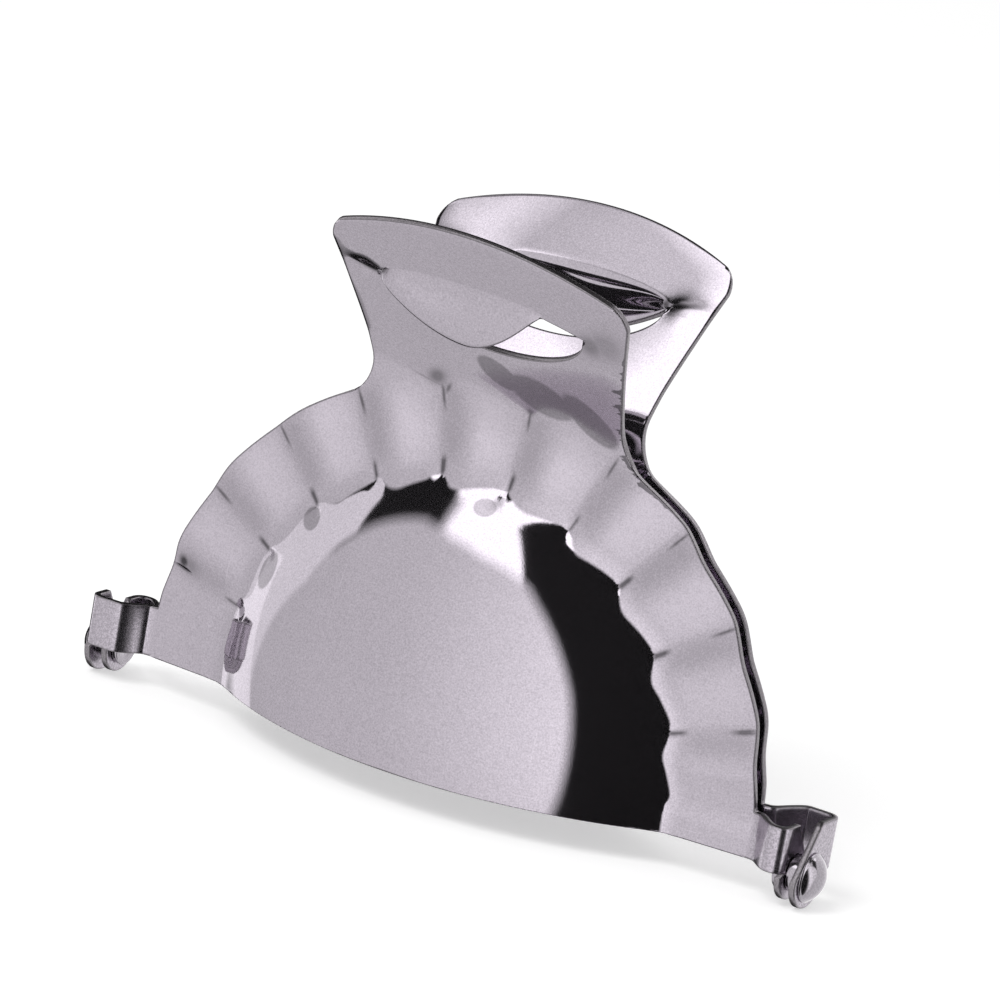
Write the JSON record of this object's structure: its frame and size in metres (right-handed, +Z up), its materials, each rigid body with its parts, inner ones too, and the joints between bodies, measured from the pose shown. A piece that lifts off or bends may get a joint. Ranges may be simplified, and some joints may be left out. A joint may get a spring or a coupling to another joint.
{
  "type": "dumpling mold",
  "caption": "Hinged pressed-steel dumpling mold: two like half-round bowls with pleated rims and leaning finger tabs, joined by a rivet at each end.",
  "frame": {"origin": "on the surface under the round hinge ears, midway between the ends and the halves", "axes": "+X along the hinge line, +Y from the front half to the rear half, +Z up from the hinge to the finger tabs"},
  "size_m": [0.0986, 0.0338, 0.0669],
  "materials": {
    "sheet": "polished stainless sheet with fine scuffs and burred cut edges",
    "rivet": "bright plated rivet"
  },
  "bodies": {
    "front": {"front_half": "sheet", "left_rivet": "rivet"},
    "rear": {"rear_half": "sheet", "right_rivet": "rivet"}
  },
  "joints": [
    {"name": "hinge", "type": "hinge", "parent": "front", "child": "rear", "pos_m": [0, 0, 0.0036], "axis": [-1, 0, 0], "range_deg": [-1, 178]}
  ]
}
